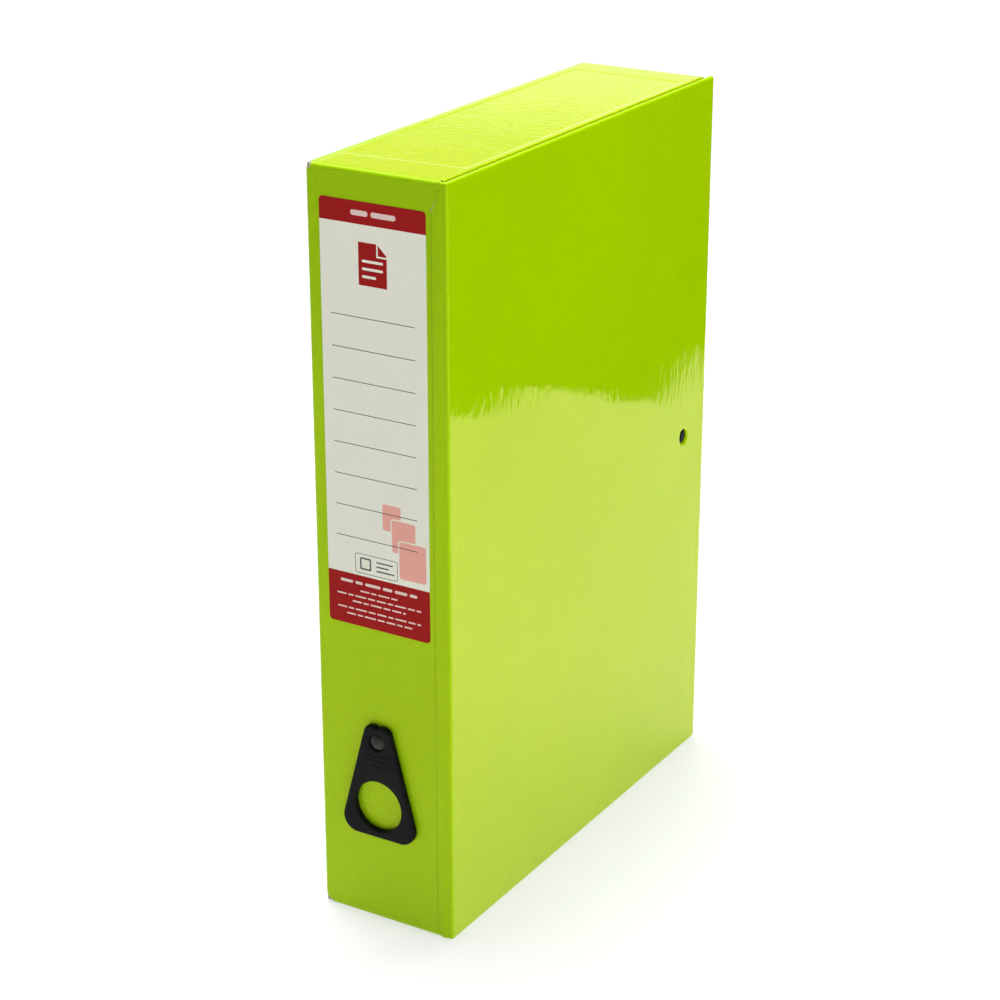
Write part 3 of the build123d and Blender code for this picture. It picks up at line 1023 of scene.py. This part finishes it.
def ring_pull():
    """A flat moulding with rounded edges, a finger hole, a rivet recess and flex grooves."""
    shell = Shell()

    def finger(grow):
        return circle((pull_middle, finger_z), finger_radius + grow, 96)

    def recess(radius):
        return circle((pull_middle, rivet_z), radius, 56)

    def wall(outline, radius):
        """A side wall round outline(inset), rolled at the back and at the front."""
        back = [(inset, pull_back - depth) for inset, depth in reversed(rolled(back_round, 3))]
        front = [(inset, pull_front + depth) for inset, depth in rolled(radius)]
        shell.bridge([shell.ring(outline(inset), y) for inset, y in back + front])

    wall(pull_outline, front_round)
    wall(finger, hole_round)
    lip, floor_y = 0.2, pull_front + recess_depth
    section = [(recess_radius + inset, pull_front + depth) for inset, depth in reversed(rolled(lip, 3))]
    section += [(recess_radius, floor_y), (shank_radius, floor_y), (shank_radius, pull_back)]
    shell.bridge([shell.ring(recess(radius), y) for radius, y in section])

    groove_zs = [flex_z - 0.4 - row * groove_pitch for row in range(3)]
    groove_xs = steps(pull_middle - groove_half, pull_middle + groove_half, 24)
    groove_xs = [pull_middle - groove_half - 0.6] + groove_xs + [pull_middle + groove_half + 0.6]
    groove_rows = (-0.65, -0.42, -0.22, 0.0, 0.22, 0.42, 0.65)
    loose = [(x, z + dz) for z in groove_zs for x in groove_xs for dz in groove_rows]

    def grooved(x, z):
        nearest = min(abs(z - groove_z) for groove_z in groove_zs)
        along = smooth_step(0, 0.9, groove_half - abs(x - pull_middle))
        return pull_front + groove_depth * along * (1 - smooth_step(0.08, 0.4, nearest))

    shell.cap(pull_outline(front_round), [finger(hole_round), recess(recess_radius + lip)], grooved, loose)
    shell.cap(pull_outline(back_round), [finger(back_round), recess(shank_radius)], lambda x, z: pull_back)
    piece = add_piece("ring_pull_moulding", shell.points, shell.faces, [plastic], closed=True)
    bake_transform(piece)
    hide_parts("ring_pull_root", "ring_pull_loop")


def pull_rivet():
    """A domed rivet head with a softened rim, its shank, and its set tail inside the spine."""
    front, base = rivet_low.y, pull_front + recess_depth - 0.1
    tail = rivet_high.y
    head = (rivet_high.x - rivet_low.x) / 2
    dome = base - front
    radius = (head**2 + dome**2) / (2 * dome)
    profile = [(0.0, front)]
    for share in steps(0, 1, 14)[1:]:
        r = head * 0.965 * share
        profile.append((r, front + radius - math.sqrt(radius**2 - r**2)))
    rim_y = profile[-1][1]
    profile += [(head * 0.99, rim_y + 0.06), (head, rim_y + 0.14), (head, base - 0.04), (head * 0.985, base)]
    profile += [(2.0, base), (2.0, tail - 0.72), (2.95, tail - 0.70), (3.0, tail - 0.6)]
    profile += [(2.9, tail - 0.2), (2.5, tail - 0.03), (1.2, tail), (0.9, tail - 0.35), (0.0, tail - 0.4)]
    shell = Shell()
    rings = []
    for r, y in profile:
        rings.append(shell.ring([(x, z) for z, x in circle((rivet_z, pull_middle), r, 48)], y))
    shell.bridge(rings)
    name = "ring_pull_rivet_domed"
    piece = add_piece(name, shell.points, shell.faces, [bronze], "tray", smooth=45, closed=True)
    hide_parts("ring_pull_rivet")


ring_pull()
pull_rivet()


# ---------------- catch, clamp and carried-over parts

def coil_line(pin, radius, near, far):
    """The spring wire's middle line: a leg on the plate, the turns, and a leg on the arm."""
    turns, per_turn = 5, 22
    total = turns * per_turn
    line = [Vector((pin[0] - 4.4, pin[1] - 7.5, near)), Vector((pin[0] - radius * 1.01, pin[1] - 3.0, near))]
    for i in range(total + 1):
        t = 2 * math.pi * i / per_turn + math.pi
        z = near + (far - near) * i / total
        line.append(Vector((pin[0] + radius * math.cos(t), pin[1] + radius * math.sin(t), z)))
    line += [Vector((pin[0] - radius * 0.86, pin[1] + 3.5, far)), Vector((pin[0] - 1.4, pin[1] + 11.5, far))]
    return line


def coil(name, node, side):
    """A torsion spring of wire round the clamp's pin, wound up or down it."""
    low, high = span(node)
    pin = ((low.x + high.x) / 2, (low.y + high.y) / 2)
    wire_radius = 0.55
    near, far = (high.z, low.z) if side > 0 else (low.z, high.z)
    near, far = near - side * wire_radius, far + side * wire_radius
    line = coil_line(pin, (high.x - low.x) / 2 - wire_radius, near, far)
    shell = Shell()
    rings = []
    for i, place in enumerate(line):
        ahead = (line[min(i + 1, len(line) - 1)] - line[max(i - 1, 0)]).normalized()
        across = ahead.cross(Vector((0, 0, 1))).normalized()
        up = across.cross(ahead)
        rings.append(shell.loop([place + across * a + up * b for a, b in circle((0, 0), wire_radius, 10)]))
    shell.bridge(rings)
    shell.faces += [tuple(reversed(rings[0])), tuple(rings[-1])]
    piece = add_piece(name, shell.points, shell.faces, [wire], smooth=60, closed=True)
    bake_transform(piece)
    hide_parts(node)


def finish_nodes(material, edge, nodes):
    """Paints CAD nodes and softens their edges."""
    for node in nodes:
        paint(node, material)
        soften(node, edge)


coil("clamp_coil_upper", "clamp_spring_upper", 1)
coil("clamp_coil_lower", "clamp_spring_lower", -1)

boards = ("base_board", "spine_board", "fore_edge_board", "head_board", "tail_board", "lid_board")
clamp_parts = ("clamp_base_plate", "clamp_pin", "clamp_arm", "clamp_base_rivets", "pressure_plate")
finish_nodes(board_pulp, 1.2, boards)
for board_node in boards:
    shrink(board_node, 0.3)
for lining_node in ("base_lining_paper", "wall_lining_paper", "lid_lining_paper"):
    paint(lining_node, cloud_lining)
finish_nodes(nickel, 0.22, clamp_parts)
finish_nodes(nickel, 0.15, ("pressure_plate_pin", "catch_rivets", "ring_pull_washer"))
finish_nodes(plastic, 0.25, ("catch_foot", "catch_button"))


# ---------------- studio

middle = to_frame((37.5, 128.5, 189.0))


def studio_floor():
    """A wide pale floor that glows a little, and more towards its far edge."""
    half = 12.0
    near_reach, far_reach, near_glow, far_glow = 0.3, 3.0, 0.56, 0.90
    mesh = bpy.data.meshes.new("floor")
    corners = [(-half, -half, 0), (half, -half, 0), (half, half, 0), (-half, half, 0)]
    mesh.from_pydata(corners, [], [(0, 1, 2, 3)])
    floor = in_scene("floor", mesh)
    look = Look("pale_floor", Roughness=0.9, IOR=1.3)
    cloud = look.noise(3.0, 2)
    dark, light = rgb(0.46, 0.46, 0.46), rgb(0.48, 0.48, 0.48)
    look.feed("Base Color", look.mix(look.ramp(cloud, 0.3, 0.7), dark, light))
    look.feed("Emission Color", WHITE)
    away = look.node("ShaderNodeVectorMath", {0: look.coordinates}, operation="LENGTH").outputs["Value"]
    look.feed("Emission Strength", look.ramp(away, near_reach, far_reach, near_glow, far_glow))
    mesh.materials.append(look.material)


def glowing(name, points, columns, brightness, **sockets):
    """A black surface over two rows of points that shines, but casts no diffuse light or shadow."""
    mesh = bpy.data.meshes.new(name)
    mesh.from_pydata(points, [], grid_faces(2, columns))
    panel = in_scene(name, mesh)
    look = Look(name + "_surface", Roughness=1.0, **sockets)
    look.feed("Base Color", BLACK)
    look.feed("Emission Color", WHITE)
    look.feed("Emission Strength", brightness)
    mesh.materials.append(look.material)
    panel.visible_diffuse = False
    panel.visible_shadow = False
    panel.visible_transmission = False
    return panel


def card(name, centre, towards, hem, top, brightness):
    """An upright card that only reflections see. Its hem is (along, height) pairs in mm."""
    facing = Vector((towards[0], towards[1], 0)).normalized()
    along = Vector((-facing.y, facing.x, 0))
    place = to_frame((centre[0], centre[1], 0))
    points = [place + (along * s + Vector((0, 0, h))) * MM for s, h in hem]
    points += [place + (along * s + Vector((0, 0, top))) * MM for s, _ in hem]
    glowing(name, points, len(hem), brightness, Specular_IOR_Level=0.0).visible_camera = False


def backdrop():
    """The plain white wall round the floor, which only the camera sees."""
    reach, tall, sides = 11.8, 14.0, 48
    turns = [2 * math.pi * i / sides for i in range(sides + 1)]
    points = [Vector((reach * math.cos(a), reach * math.sin(a), z)) for z in (0.0, tall) for a in turns]
    glowing("backdrop", points, sides + 1, 1.0).visible_glossy = False


def flag_hem(s):
    """The dark flag's wavy lower edge, which the lid mirrors: it falls, dips and rises along its length."""
    fall = 22 * (1 - smooth_step(30, 75, s))
    dip = 10 * (1 - smooth_step(-45, 5, s))
    rise = 45 * (1 - smooth_step(-105, -60, s))
    return 17 + fall - dip + rise


def aim_back(thing, place, back):
    """Puts a lamp or camera at a place, with its back turned to a direction."""
    thing.location = place
    thing.rotation_mode = "QUATERNION"
    thing.rotation_quaternion = back.to_track_quat("Z", "Y")


def softbox(name, place, width, tall, power):
    """A rectangular area light, aimed at the file, that neither the camera nor reflections see."""
    light = bpy.data.lights.new(name, "AREA")
    light.shape = "RECTANGLE"
    light.size, light.size_y = width, tall
    light.energy = power
    lamp = in_scene(name, light)
    aim_back(lamp, place, Vector(place) - middle)
    lamp.visible_camera = False
    lamp.visible_glossy = False


def studio():
    """Floor, wall, even white light, two lamps, and the cards that the gloss mirrors."""
    world_strength = 0.24
    studio_floor()
    backdrop()
    world = bpy.data.worlds.new("studio")
    bpy.context.scene.world = world
    world.use_nodes = True
    background = world.node_tree.nodes["Background"]
    background.inputs["Color"].default_value = WHITE
    background.inputs["Strength"].default_value = world_strength
    softbox("top_softbox", (-0.25, 0.20, 1.70), 0.9, 0.9, 38.0)
    softbox("right_softbox", (1.7, -0.2, 0.9), 1.0, 1.2, 14.6)
    hem = [(s, flag_hem(s)) for s in [-480] + steps(-120, 100, 60) + [900]]
    card("dark_flag", (375, 648), (-0.5, -0.866), hem, 1500, 0.0)
    card("back_card", (-780, 1320), (0.52, -0.86), [(-2500, 0), (2500, 0)], 700, 0.85)
    card("front_flag", (-420, -620), (0.5, 0.8), [(-700, 60), (700, 60)], 900, 0.1)
    card("sky_left", (-900, 480), (0.87, -0.48), [(-450, 1150), (450, 1150)], 2600, 2.6)
    card("sky_back", (-200, 1400), (0.16, -0.98), [(-500, 1230), (500, 1230)], 2100, 2.2)


def camera():
    """The photograph's viewing angle: from the front right, a little above."""
    azimuth, elevation, distance = math.radians(31.13), math.radians(21.60), 1.2736
    aim = middle + Vector((-8.1, -8.6, -8.1)) * MM
    level = math.cos(elevation)
    back = Vector((math.sin(azimuth) * level, -math.cos(azimuth) * level, math.sin(elevation)))
    data = bpy.data.cameras.new("camera")
    data.sensor_width = 36.0
    data.lens = 90.5
    data.clip_start, data.clip_end = 0.05, 60.0
    view = in_scene("camera", data)
    aim_back(view, aim + back * distance, back)
    bpy.context.scene.camera = view


studio()
camera()
bpy.context.scene.view_settings.view_transform = "Standard"
